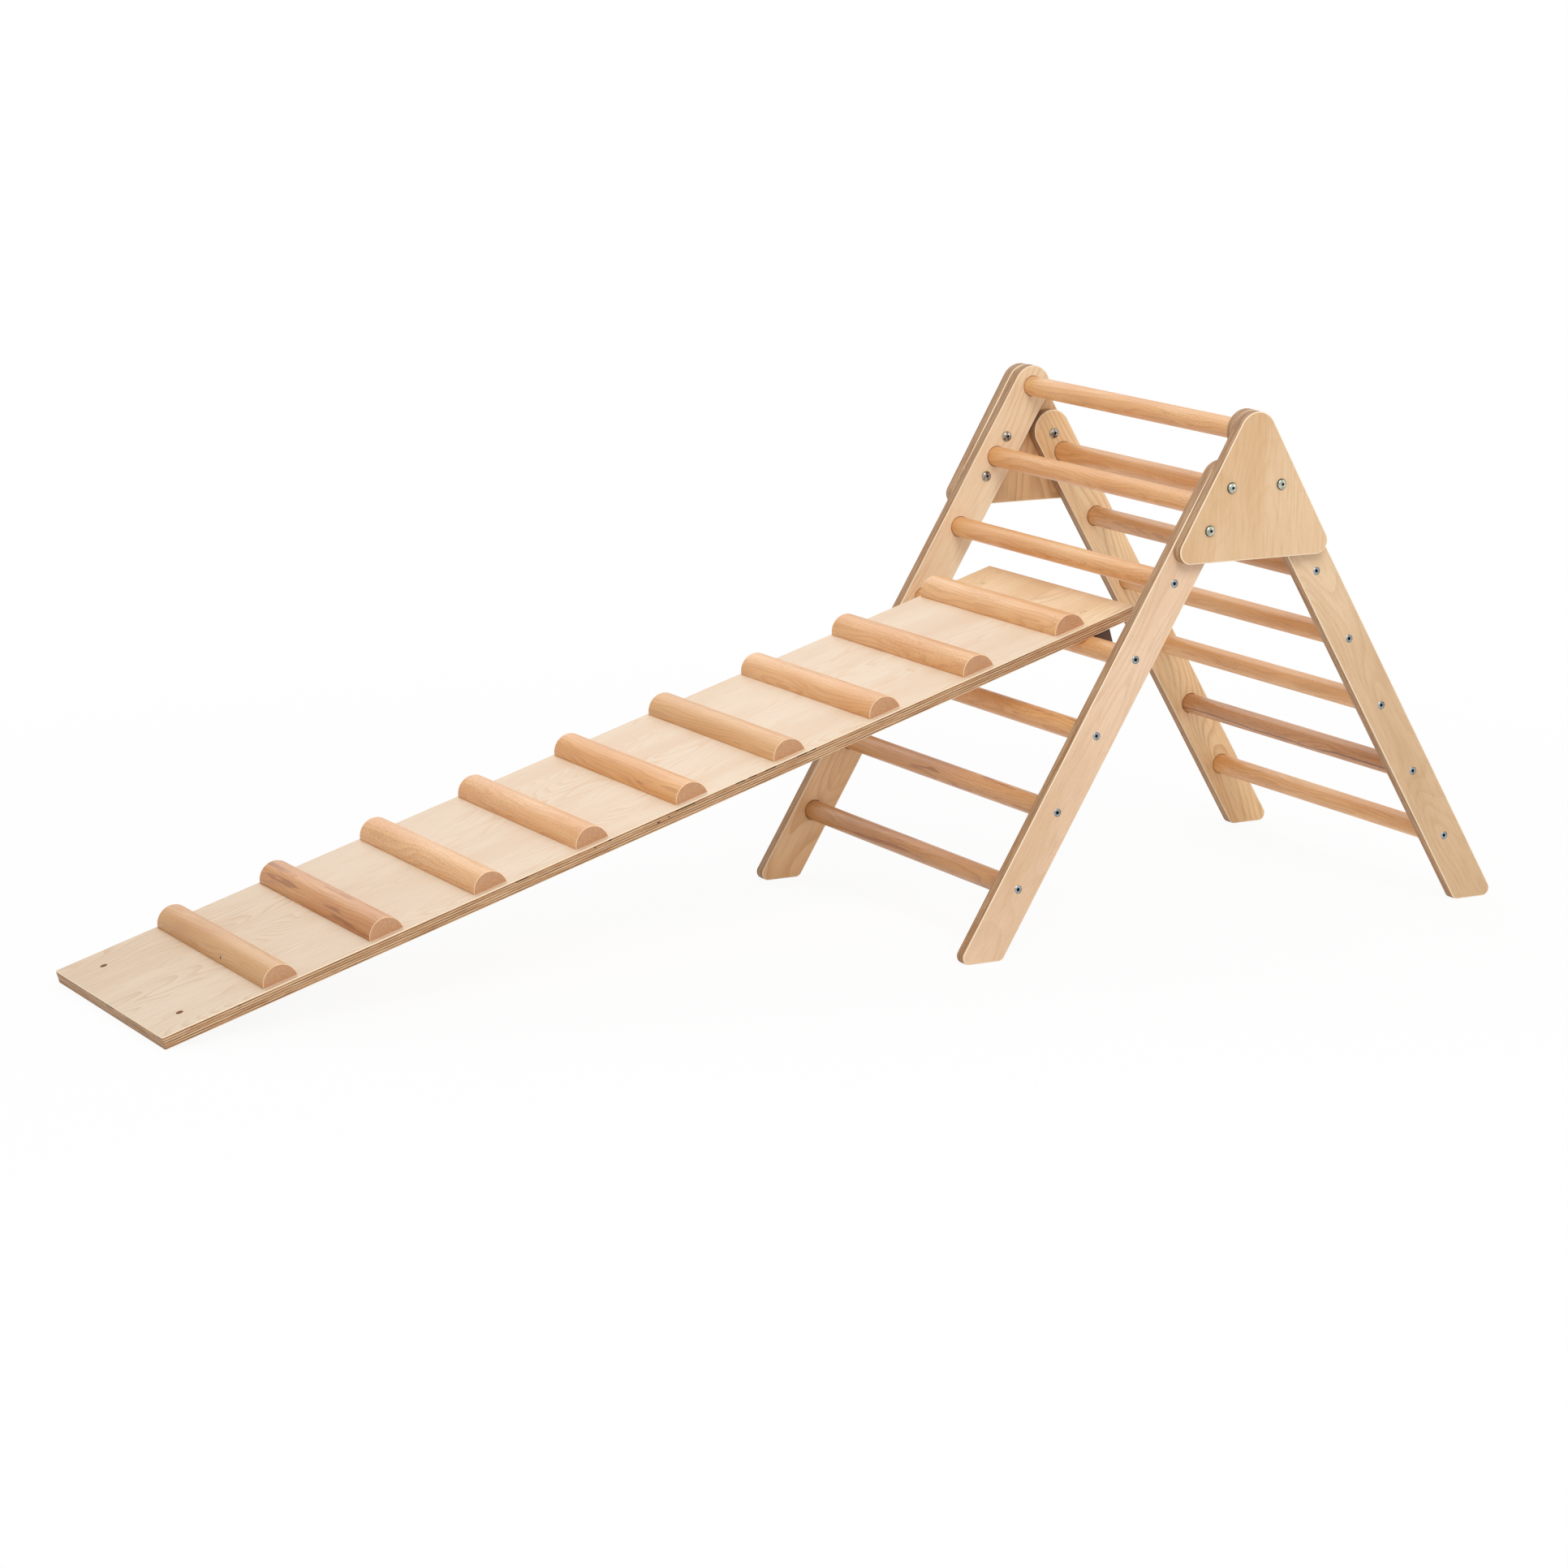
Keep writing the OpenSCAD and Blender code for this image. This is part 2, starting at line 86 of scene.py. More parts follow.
class Wire:
    """A value that varies over a surface. Its operators add Math nodes to the tree it belongs to."""

    def __init__(self, tree, socket):
        self.tree, self.socket = tree, socket

    def make(self, kind, settings, inputs, out=0):
        """Adds one node: its settings first, then values or wires on its inputs. Either may be None."""
        node = self.tree.nodes.new(kind)
        for key, value in (settings or {}).items():
            setattr(node, key, value)
        for key, value in (inputs or {}).items():
            if isinstance(value, Wire):
                self.tree.links.new(value.socket, node.inputs[key])
            else:
                node.inputs[key].default_value = value
        return Wire(self.tree, node.outputs[out])

    def maths(self, operation, *others):
        """A Math node on this value and the others."""
        return self.make("ShaderNodeMath", {"operation": operation}, dict(enumerate((self,) + others)))

    def __add__(self, other): return self.maths("ADD", other)
    def __radd__(self, other): return self.maths("ADD", other)
    def __sub__(self, other): return self.maths("SUBTRACT", other)
    def __mul__(self, other): return self.maths("MULTIPLY", other)
    def __rmul__(self, other): return self.maths("MULTIPLY", other)
    def __abs__(self): return self.maths("ABSOLUTE")

    def __rsub__(self, other):
        return self.make("ShaderNodeMath", {"operation": "SUBTRACT"}, {0: other, 1: self})

    def between(self, low, high):
        """0 where the value is at low, 1 at high, smooth in between."""
        return self.make("ShaderNodeMapRange", {"interpolation_type": "SMOOTHSTEP"},
                         {"Value": self, "From Min": low, "From Max": high})

    def part(self, letter):
        """One of the X, Y and Z parts of a vector."""
        return self.make("ShaderNodeSeparateXYZ", None, {0: self}, "XYZ".index(letter))

    def stretched(self, x, y, z):
        """A vector with its parts multiplied, so that a noise read with it is drawn out."""
        return self.make("ShaderNodeVectorMath", {"operation": "MULTIPLY"}, {0: self, 1: (x, y, z)})

    def shifted(self, other):
        """A vector with another one added to it."""
        return self.make("ShaderNodeVectorMath", {"operation": "ADD"}, {0: self, 1: other})

    def measured_from(self, point):
        """A vector with its origin moved to a point."""
        return self.shifted(tuple(-float(part) for part in point))

    def length(self):
        """How far a vector's point lies from the origin."""
        return self.make("ShaderNodeVectorMath", {"operation": "LENGTH"}, {0: self}, "Value")

    def noise(self, detail, roughness=0.5):
        """Soft noise, about 0.5, at one cell for each unit of this vector."""
        return self.make("ShaderNodeTexNoise", None,
                         {"Vector": self, "Scale": 1.0, "Detail": detail, "Roughness": roughness})

    def over(self, low_colour, high_colour):
        """Mixes two colours, by this mask."""
        inputs = {0: self, 6: low_colour, 7: high_colour}
        return self.make("ShaderNodeMix", {"data_type": "RGBA"}, inputs, 2)


class Finish:
    """A material, the place on its piece as a wire, and its Principled shader."""

    def __init__(self, name, **constants):
        self.material = bpy.data.materials.new(name)
        self.material.use_nodes = True
        tree = self.material.node_tree
        self.shader = tree.nodes["Principled BSDF"]
        for key, value in constants.items():
            self.shader.inputs[key.replace("_", " ")].default_value = value
        self.place = Wire(tree, None).make("ShaderNodeTexCoord", None, None, "Object")

    def along(self, tilt, centre):
        """The place on the piece, turned about Y so that X runs tilt degrees above the floor."""
        local = self.place.measured_from(centre)
        inputs = {"Vector": local, "Rotation": (0, math.radians(tilt), 0)}
        return local.make("ShaderNodeMapping", None, inputs)

    def feed(self, height, depth, **wires):
        """Joins wires to the shader, and to its bump a height, of which 1 stands for depth metres."""
        tree = self.material.node_tree
        for key, wire in wires.items():
            tree.links.new(wire.socket, self.shader.inputs[key.replace("_", " ")])
        inputs = {"Strength": 1.0, "Distance": depth, "Height": height}
        bump = height.make("ShaderNodeBump", None, inputs)
        tree.links.new(bump.socket, self.shader.inputs["Normal"])
        return self.material


def seen_or_mirrored(tree):
    """1 for the rays that show the room to the camera, to polished metal or through glass: the
    largest of the three marks that Light Path gives."""
    start = Wire(tree, None)
    seen, mirrored, passed = (start.make("ShaderNodeLightPath", None, None, f"Is {ray} Ray")
                              for ray in ("Camera", "Glossy", "Transmission"))
    return seen.maths("MAXIMUM", mirrored).maths("MAXIMUM", passed)


def whiten(tree, mask, lit, glow, output):
    """Mixes what the light makes of a surface with plain white, by a mask, for the output node."""
    white = mask.make(glow, None, {"Color": (1, 1, 1, 1), "Strength": 1.0})
    both = mask.make("ShaderNodeMixShader", None, {0: mask, 1: Wire(tree, lit.outputs[0]), 2: white})
    tree.links.new(both.socket, tree.nodes[output].inputs["Surface"])


ROOM_LIGHT = 0.62
world = bpy.data.worlds.new("studio_room")
bpy.context.scene.world = world
world.use_nodes = True
room = world.node_tree
backdrop = room.nodes["Background"]
backdrop.inputs["Color"].default_value = (1, 1, 1, 1)
backdrop.inputs["Strength"].default_value = ROOM_LIGHT
whiten(room, seen_or_mirrored(room), backdrop, "ShaderNodeBackground", "World Output")

# The floor shows mostly plain white near the triangle, so that a soft shadow stays, and all white
# further off.
FLOOR_REACH = 30
far_corners = [(x * FLOOR_REACH, y * FLOOR_REACH, 0) for x, y in ((-1, -1), (1, -1), (1, 1), (-1, 1))]
floor_mesh = bpy.data.meshes.new("studio_floor")
floor_mesh.from_pydata(far_corners, [], [(0, 1, 2, 3)])
floor = bpy.data.objects.new("studio_floor", floor_mesh)
bpy.context.scene.collection.objects.link(floor)
floor_finish = Finish("studio_floor_paint", Roughness=0.9, Base_Color=(0.9, 0.9, 0.9, 1))
floor_tree = floor_finish.material.node_tree
NEAR_WHITE, SHADOW_FADES = 0.92, (1.3, 2.8)
further_off = floor_finish.place.length().between(*SHADOW_FADES)
whitened = seen_or_mirrored(floor_tree) * (further_off * (1 - NEAR_WHITE) + NEAR_WHITE)
whiten(floor_tree, whitened, floor_finish.shader, "ShaderNodeEmission", "Material Output")
floor_mesh.materials.append(floor_finish.material)


def panel(name, place, aim, size, watts):
    """A square soft panel that looks from its place at a point of the part."""
    lamp = bpy.data.lights.new(name, "AREA")
    lamp.energy, lamp.size = watts, size
    holder = bpy.data.objects.new(name, lamp)
    bpy.context.scene.collection.objects.link(holder)
    holder.location = place
    holder.rotation_euler = (Vector(aim) - Vector(place)).to_track_quat("-Z", "Y").to_euler()


panel("key_panel", (-1.0, -4.4, 4.4), (0.1, 0, 0.3), 2.6, 150)
panel("side_panel", (4.2, -2.6, 2.4), (0.3, 0, 0.3), 2.2, 20)
panel("back_panel", (0.4, 4.4, 3.8), (0.0, 0, 0.3), 4.0, 60)


# ---------------------------------------------------------------- legs
# Four legs, routed from 18 mm birch plywood to one pattern: a foot cut level with the floor, a round
# upper end, and arrises broken with a round-over. Shallow seats take the rung ends on the inner
# faces, and each rung's screw is sunk flush into the outer face.

BOARD = 0.018
LEG_W = 0.062
CLEAR = 0.55
ARRIS = 0.0015
PITCH = 0.12
LOWEST = 0.116
RUNG_D = 0.030
SEAT, SEAT_GAP = 0.0042, 0.0008
HEAD_D, HEAD_GAP, HEAD_SEAT = 0.011, 0.0003, 0.004
HOLE_SIDES = 40
FOOT_R = 0.011
END_PAST_BOLT = 0.0055
BOLT_OFFSET = 0.034
TOP_AT = LOWEST + 6 * PITCH
LEAN = math.degrees(math.acos(APEX[2] / TOP_AT))
LEAN_SIN, LEAN_COS = math.sin(math.radians(LEAN)), math.cos(math.radians(LEAN))
REAR_SET_IN = 0.0044
PLIES = 11
# Each leg's face colours at its foot and at its top. The darker foot colours are painted shade, standing
# in for the weaker light low down by the floor; the top colours are the plain birch.
LEG_BIRCH_SHADED_AT_FOOT = {
    "front_leg_far": ((paint(241, 204, 160), paint(231, 186, 138), paint(208, 153, 99)),
                      (paint(241, 219, 188), paint(231, 202, 166), paint(208, 168, 124))),
    "front_leg_near": ((paint(226, 194, 162), paint(216, 180, 144), paint(192, 146, 106)),
                       (paint(233, 203, 174), paint(223, 189, 156), paint(198, 155, 116))),
    "rear_leg_far": ((paint(239, 203, 157), paint(221, 174, 121), paint(197, 142, 87)),
                     (paint(249, 219, 176), paint(231, 190, 140), paint(206, 157, 106))),
    "rear_leg_near": ((paint(210, 177, 138), paint(197, 161, 120), paint(176, 134, 90)),
                      (paint(228, 198, 163), paint(215, 182, 145), paint(193, 152, 109))),
}


def rounded(corners, radii, step=6.0):
    """An outline with round corners, and its outward normals. Corners run anticlockwise. Each one
    becomes an arc about the centre that lies at equal distances from its two sides, with one point
    on each straight side close to the arc."""
    corners = np.asarray(corners, float)
    before = np.roll(corners, 1, 0) - corners
    after = np.roll(corners, -1, 0) - corners
    before /= np.linalg.norm(before, axis=1)[:, None]
    after /= np.linalg.norm(after, axis=1)[:, None]
    half = np.arccos((before * after).sum(1)) / 2
    middle = before + after
    middle /= np.linalg.norm(middle, axis=1)[:, None]
    close, least = 0.0008, 0.002
    points, normals = [], []
    for k, r in enumerate(radii):
        centre = corners[k] + middle[k] * r / math.sin(half[k])
        first = math.atan2(before[k][0], -before[k][1])
        sweep = math.pi - 2 * half[k]
        angle = first + np.linspace(0, sweep, max(2, int(math.degrees(sweep) / step) + 1))
        arc = np.stack([np.cos(angle), np.sin(angle)], 1)
        reach = r / math.tan(half[k])
        room = [np.linalg.norm(corners[k] - corners[m]) - reach - radii[m] / math.tan(half[m])
                for m in (k - 1, (k + 1) % len(corners))]
        lead = [centre + r * arc[:1] + close * before[k]] if room[0] > least else []
        tail = [centre + r * arc[-1:] + close * after[k]] if room[1] > least else []
        points += lead + [centre + r * arc] + tail
        normals += [arc[:1]] * len(lead) + [arc] + [arc[-1:]] * len(tail)
    points, normals = np.concatenate(points), np.concatenate(normals)
    apart = np.linalg.norm(points - np.roll(points, 1, 0), axis=1) > 1e-4
    return points[apart], normals[apart]


def mesh_piece(name, body, points, faces, which, smooth, finishes, replaced):
    """Puts finished arrays into a mesh at the origin, turns every face of its closed shells outwards,
    and hands the piece to its body."""
    mesh = bpy.data.meshes.new(name)
    mesh.from_pydata(points, [], faces)
    mesh.polygons.foreach_set("material_index", np.asarray(which, np.int32))
    mesh.polygons.foreach_set("use_smooth", np.asarray(smooth, bool))
    shell = bmesh.new()
    shell.from_mesh(mesh)
    bmesh.ops.recalc_face_normals(shell, faces=shell.faces)
    shell.to_mesh(mesh)
    shell.free()
    for finish in finishes:
        mesh.materials.append(finish)
    mesh.update()
    piece = bpy.data.objects.new(name, mesh)
    bpy.context.scene.collection.objects.link(piece)
    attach(piece, body)
    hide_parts(*replaced)
    return piece


def net(rings, count):
    """The four-sided faces between neighbouring rings of count points: point j of a ring, the next
    one round it, and the same two of the ring after."""
    i, j = np.meshgrid(np.arange(rings - 1), np.arange(count), indexing="ij")
    k = (j + 1) % count
    corners = [i * count + j, i * count + k, (i + 1) * count + k, (i + 1) * count + j]
    return np.stack(corners, -1).reshape(-1, 4)


def eased(low, high, radius, rim, steps):
    """Rings from one face of a bar to the other, with a quarter circle at both arrises. Gives how far
    each is drawn in, the radius times one less the sine of its angle, and where it lies, off its face
    by the radius times one less the cosine. The two in the middle lie off their faces by the rim."""
    angle = np.radians(np.linspace(0, 90, steps + 1))
    inset = np.append(radius * (1 - np.sin(angle)), 0)
    rise = np.append(radius * (1 - np.cos(angle)), rim)
    return np.concatenate([inset, inset[::-1]]), np.concatenate([low + rise, high - rise[::-1]])


def circle(count):
    """Points round a circle of radius 1: the cosine and the sine of equal steps of angle."""
    angle = np.linspace(0, 2 * math.pi, count, endpoint=False)
    return np.column_stack([np.cos(angle), np.sin(angle)])


def routed_board(outline, normals, low, high, arris, pockets):
    """A flat board. Its outline is carried from the low face to the high one and drawn in by a
    quarter circle at both, and each face is filled between that outline and its round pockets.
    A pocket is (x, y, radius, depth, side, wall): side is -1 for the low face and 1 for the high one,
    and wall is the number of the finish on its wall."""
    inset, level = eased(low, high, arris, rim=arris + 0.0004, steps=4)
    n, rings = len(outline), len(level)
    wall = outline[None] - inset[:, None, None] * normals[None]
    levels = np.broadcast_to(level[:, None, None], (rings, n, 1))
    points = [np.concatenate([wall, levels], 2).reshape(-1, 3)]
    quads = net(rings, n)
    faces, which, smooth = [quads.tolist()], [np.ones(len(quads))], [np.ones(len(quads))]
    count, m = rings * n, HOLE_SIDES
    a = np.arange(m)
    b = (a + 1) % m
    for side, height, first in ((-1, low, 0), (1, high, (rings - 1) * n)):
        loops = [points[0][first:first + n]]
        numbers = [first + np.arange(n)]
        for x, y, r, depth, of_side, of_wall in pockets:
            if of_side != side:
                continue
            ring = np.array([x, y]) + r * circle(m)
            mouth = np.column_stack([ring, np.full(m, height)])
            bottom = np.column_stack([ring, np.full(m, height - side * depth)])
            points += [mouth, bottom]
            around = np.stack([count + a, count + m + a, count + m + b, count + b], 1)
            faces += [around.tolist(), [(count + m + a).tolist()]]
            which += [np.full(m, of_wall), [of_wall]]
            smooth += [np.ones(m), [0]]
            loops.append(mouth)
            numbers.append(count + a)
            count += 2 * m
        numbers = np.concatenate(numbers)
        flat = np.concatenate(loops)[:, :2]
        cut = np.array(tessellate_polygon([[Vector(p) for p in loop] for loop in loops]))
        faces.append(numbers[cut].tolist())
        which.append(np.zeros(len(cut)))
        smooth.append(np.zeros(len(cut)))
    return np.concatenate(points), sum(faces, []), np.concatenate(which), np.concatenate(smooth)


def birch_face(name, colours, tilt, centre, seed, lines=45, veins=0.4, further=()):
    """Rotary-cut birch veneer. Its growth lines are the level lines of a slope across the grain plus
    soft hills drawn out along it, so they run straight in places and close into flames in others.
    Each is sharp on one side and fades on the other, over cream clouds and fine fibres. Further along
    the board other colours may take over: each is (from, to, colours)."""
    finish = Finish(name, Roughness=0.46, Specular_IOR_Level=0.4)
    board = finish.along(tilt, centre)
    p = board.shifted((seed, seed * 0.7, seed * 1.3))
    hills = p.stretched(1.6, 6.5, 6.5).noise(2, 0.45)
    level = (p.part("Y") + p.part("Z")) * lines + hills * (20 + lines * 0.35)
    line = level.maths("FRACT").between(0.4, 1.0)
    shown = p.stretched(3.5, 14, 14).noise(2).between(0.34, 0.6)
    cloud = p.stretched(2.4, 12, 12).noise(3, 0.55).between(0.36, 0.66)
    fibre = p.stretched(22, 330, 330).noise(2, 0.65)
    speck = p.stretched(260, 520, 520).noise(2, 0.7)
    pale, tan, brown = colours
    for first, last, others in further:
        reached = board.part("X").between(first, last)
        pale, tan, brown = (reached.over(near, far) for near, far in zip((pale, tan, brown), others))
    clouded = cloud.over(pale, tan)
    veined = (line * shown * veins).over(clouded, brown)
    fibred = (fibre.between(0.44, 0.78) * 0.34).over(veined, brown)
    specked = (speck.between(0.55, 0.8) * 0.3).over(fibred, brown)
    return finish.feed(Base_Color=specked, height=fibre + line * 0.3, depth=0.00005)


def ply_edge(name, tilt, centre, depth_of, seed, gaps=()):
    """The sawn edge of birch plywood. Plies with long grain are pale, those between them show brown
    end grain, and thin dark glue lines part them. The outer plies are the cream face veneers, bared
    by the round-over and drawn paler than the face as a painted highlight along it. Under the outer
    one a core ply leaves a void here and there, drawn as a dark slit of painted shade. Gaps at
    known places are (from, to, ply), in metres along the board and in plies from its low face."""
    finish = Finish(name, Roughness=0.6, Specular_IOR_Level=0.3)
    board = finish.along(tilt, centre)
    p = board.shifted((seed, seed * 0.3, 0))
    wander = (p.stretched(9, 9, 9).noise(2) - 0.5) * 0.0005
    place = (depth_of(finish, p) + wander) * (PLIES / BOARD)
    wave = (place * math.pi).maths("SINE")
    cross = wave.between(0.2, -0.3)
    glue = abs(wave).between(0.35, 0.0)
    own = place.make("ShaderNodeCombineXYZ", None, {0: place.maths("FLOOR") * 7.3})
    streak = p.stretched(14, 14, 14).shifted(own).noise(3, 0.6).between(0.36, 0.64)
    pores = p.stretched(420, 420, 420).noise(1).between(0.5, 0.75)
    pale = streak.over(paint(216, 184, 146), paint(188, 146, 106))
    brown = streak.over(paint(176, 132, 94), paint(132, 90, 60))
    layered = cross.over(pale, brown)
    glued = (glue * 0.36).over(layered, paint(104, 70, 50))
    pored = (pores * cross * 0.35).over(glued, paint(104, 70, 50))
    # The pale outer band is the face veneer, drawn paler than the face as a painted highlight along the
    # round-over.
    outer = abs(place - PLIES / 2).between(PLIES / 2 - 0.8, PLIES / 2 - 0.6)
    faced_with_highlight = outer.over(pored, paint(244, 222, 192))
    # A slit is a real void in a core ply. Its dark colour is painted shade inside the void.
    slit = p.stretched(34, 34, 34).shifted((3.1, 0, 0)).noise(2).between(0.63, 0.65)
    slit = slit * abs(place - (PLIES - 1.4)).between(0.6, 0.4)
    for first, last, ply in gaps:
        middle, half = (first + last) / 2, (last - first) / 2
        stretch = abs(board.part("X") - middle).between(half, half - 0.001)
        slit = slit.maths("MAXIMUM", stretch * abs(place - ply).between(0.5, 0.35))
    slitted = slit.over(faced_with_highlight, paint(48, 30, 22))
    return finish.feed(Base_Color=slitted, height=streak + cross * 0.4 - slit * 2, depth=0.0001)


def depth_from_y(inner):
    """How deep a point lies in an upright board, from its inner face outwards."""
    return lambda finish, p: abs(finish.place.part("Y")) - inner


def leg_outline(end_at):
    """A leg drawn upright: a foot cut level with the floor, its slant the tangent of the lean, and a
    half circle about the point end_at up the centre line."""
    half = LEG_W / 2
    foot = half * LEAN_SIN / LEAN_COS
    return rounded([(-half, -foot), (half, foot), (half, end_at + half), (-half, end_at + half)],
                   [FOOT_R, FOOT_R, half, half])


def rung_at(n):
    """How far up a leg's centre line the nth rung lies: one pitch above the last, counted from the
    lowest one's height along the leg."""
    return LOWEST + (n - 1) * PITCH


def stand(points, front, near):
    """Stands a leg drawn flat, x across it, y up it and z through the plywood, in its place: turned by
    the lean about the point where its centre line meets the floor, and moved out to its side."""
    across, up, out = points.T
    side = -1 if front else 1
    reach = TOP_AT * LEAN_SIN - up * LEAN_SIN - across * LEAN_COS
    x = APEX[0] + side * reach - (0 if front else REAR_SET_IN)
    z = up * LEAN_COS - across * LEAN_SIN
    y = (CLEAR / 2 + out) * (-1 if near else 1)
    return np.column_stack([x, y, z])


def bored_wood(name, pale, dark):
    """The wall of a bored hole: rough brown end grain."""
    finish = Finish(name, Roughness=0.8, Specular_IOR_Level=0.2)
    torn = finish.place.stretched(700, 700, 700).noise(2, 0.6)
    return finish.feed(Base_Color=torn.between(0.35, 0.65).over(pale, dark), height=torn, depth=0.0001)


bored = bored_wood("bored_plywood", paint(136, 96, 68), paint(88, 58, 40))
short_end = rung_at(6) + BOLT_OFFSET + END_PAST_BOLT
for front in (True, False):
    for near in (False, True):
        name = f"{'front' if front else 'rear'}_leg_{'near' if near else 'far'}"
        long = front and not near
        outline, normals = leg_outline(TOP_AT if long else short_end)
        pockets = []
        for n in range(1, 8 if long else 7):
            pockets += [(0, rung_at(n), RUNG_D / 2 + SEAT_GAP, SEAT, -1, 2),
                        (0, rung_at(n), HEAD_D / 2 + HEAD_GAP, HEAD_SEAT, 1, 2)]
        points, faces, which, smooth = routed_board(outline, normals, 0, BOARD, ARRIS, pockets)
        points = stand(points, front, near)
        tilt = 90 - LEAN if front else 90 + LEAN
        seed = 3.7 + 5 * front + 11 * near
        foot = (APEX[0] + (-1 if front else 1) * TOP_AT * LEAN_SIN, 0, 0)
        shaded_foot, at_top = LEG_BIRCH_SHADED_AT_FOOT[name]
        # The face fades from the painted shade at the foot to its plain colours 0.7 m up the leg.
        face = birch_face(name + "_birch", shaded_foot, tilt, foot, seed, veins=0.26 if near else 0.5,
                          further=[(0.0, 0.7, at_top)])
        edge = ply_edge(name + "_plies", tilt, foot, depth_from_y(CLEAR / 2), seed)
        mesh_piece(name + "_board", "front_frame" if front else "rear_ladder", points, faces, which,
                   smooth, [face, edge, bored], [name])


# ---------------------------------------------------------------- rungs
# Thirteen beech dowels, 30 mm thick, turned smooth and lacquered. Their ends sit in the legs' seats.
# Each has its own figure: flecked where the rays are cut across, and brown where the heartwood runs.


def turned(radii, along, start, axis, side, count=64):
    """A surface of revolution: rings of the given radii at the given places along an axis, closed at
    both ends by a point. A point of a ring stands off the axis by its radius, the cosine of its angle
    to one side and the sine across that. A radius may differ round its ring, as in a hex socket."""
    start, axis, side, along = (np.asarray(v, float) for v in (start, axis, side, along))
    round_it = circle(count) @ np.stack([side, np.cross(axis, side)])
    radii = np.stack([np.broadcast_to(r, count) for r in radii])
    rings = start + along[:, None, None] * axis + radii[:, :, None] * round_it
    points = np.concatenate([rings.reshape(-1, 3), [start + along[0] * axis, start + along[-1] * axis]])
    j = np.arange(count)
    k = (j + 1) % count
    low, high = len(points) - 2, len(points) - 1
    last = (len(along) - 1) * count
    first_fan = np.stack([np.full(count, low), k, j], 1)
    last_fan = np.stack([np.full(count, high), last + j, last + k], 1)
    return points, net(len(along), count).tolist() + first_fan.tolist() + last_fan.tolist()


BEECH = (paint(240, 188, 130), paint(230, 169, 107), paint(196, 129, 73))


def beech(name, centre, seed, tone=BEECH, heart=0.8, ray=0.56, seam=None, highlit_ends=None, knot=None):
    """Lacquered beech with its grain along Y. Growth lines are the level lines of a slope through the
    bar plus soft hills, with short dark ray flecks, and brown flames where the heart colour comes in.
    Heart and ray are the levels of the noise from which flames and flecks show. A seam of heart may
    run at one height of the bar, a pin knot may sit in it as a small dark ball, and the arris at both
    ends may carry a painted highlight: a paler rim standing in for the light that it catches."""
    finish = Finish(name, Specular_IOR_Level=0.45, Coat_Weight=0.2, Coat_Roughness=0.32)
    bar = finish.place.measured_from(centre)
    p = bar.shifted((seed, seed * 0.6, seed * 1.7))
    cloud = p.stretched(18, 3, 18).noise(3, 0.6)
    hills = p.stretched(28, 3.2, 28).noise(2, 0.5)
    level = (p.part("X") + p.part("Z") * 0.6) * 190 + hills * 11
    growth = level.maths("FRACT").between(0.35, 1.0)
    heartwood = p.stretched(120, 7, 120).shifted((5, 2, 1)).noise(2, 0.5).between(heart, heart + 0.06)
    fibre = p.stretched(520, 30, 520).noise(2, 0.6)
    banded = p.stretched(26, 5, 26).noise(2).between(ray - 0.16, ray + 0.1)
    fleck = p.stretched(1000, 230, 1000).noise(0).between(0.6, 0.72) * banded
    based = cloud.between(0.34, 0.68).over(tone[0], tone[1])
    grown = (growth * 0.34).over(based, tone[2])
    hearted = (heartwood * 0.6).over(grown, paint(140, 70, 20))
    if seam is not None:
        wavering = bar.part("Z") - seam + (p.stretched(40, 9, 40).noise(3) - 0.5) * 0.012
        hearted = (abs(wavering).between(0.0013, 0.0004) * 0.85).over(hearted, paint(98, 56, 32))
    fibred = (fibre.between(0.5, 0.8) * 0.3).over(hearted, tone[2])
    flecked = (fleck * 0.38).over(fibred, paint(136, 84, 50))
    if knot is not None:
        pin = bar.measured_from(knot).length().between(0.0030, 0.0016)
        flecked = pin.over(flecked, paint(48, 20, 4))
    if highlit_ends is not None:
        # The paler rim at each end is a painted highlight along the arris.
        rim = abs(bar.part("Y")).between(highlit_ends - 0.0014, highlit_ends - 0.0006)
        flecked = (rim * 0.7).over(flecked, paint(250, 218, 182))
    gloss = cloud * 0.12 + 0.36
    return finish.feed(Base_Color=flecked, Roughness=gloss, height=fibre - fleck * 0.8, depth=0.00004)


DARKER_BEECH = (paint(224, 170, 116), paint(206, 148, 92), paint(166, 108, 60))
RUNG_FIGURE = {
    "front_rung_1": {"tone": (paint(210, 156, 102), paint(192, 134, 78), paint(152, 96, 48)),
                     "heart": 0.57},
    "front_rung_2": {"tone": DARKER_BEECH, "heart": 0.6},
    "front_rung_3": {"heart": 0.64},
    "rear_rung_2": {"tone": (paint(212, 156, 104), paint(196, 136, 84), paint(150, 96, 56)),
                    "seam": -0.005, "ray": 0.5},
    "rear_rung_5": {"tone": DARKER_BEECH},
}
FRONT_RUNGS = [f"front_rung_{n}" for n in range(1, 7)]
REAR_RUNGS = [f"rear_rung_{n}" for n in range(1, 7)]
RUNG_SUNK, RUNG_EASE = 0.004, 0.0008
to_end = CLEAR / 2 + RUNG_SUNK - np.array([0, RUNG_EASE, RUNG_SUNK])
bar_along = np.concatenate([-to_end, [0], to_end[::-1]])
bar_radii = [RUNG_D / 2 - RUNG_EASE] + [RUNG_D / 2] * 5 + [RUNG_D / 2 - RUNG_EASE]
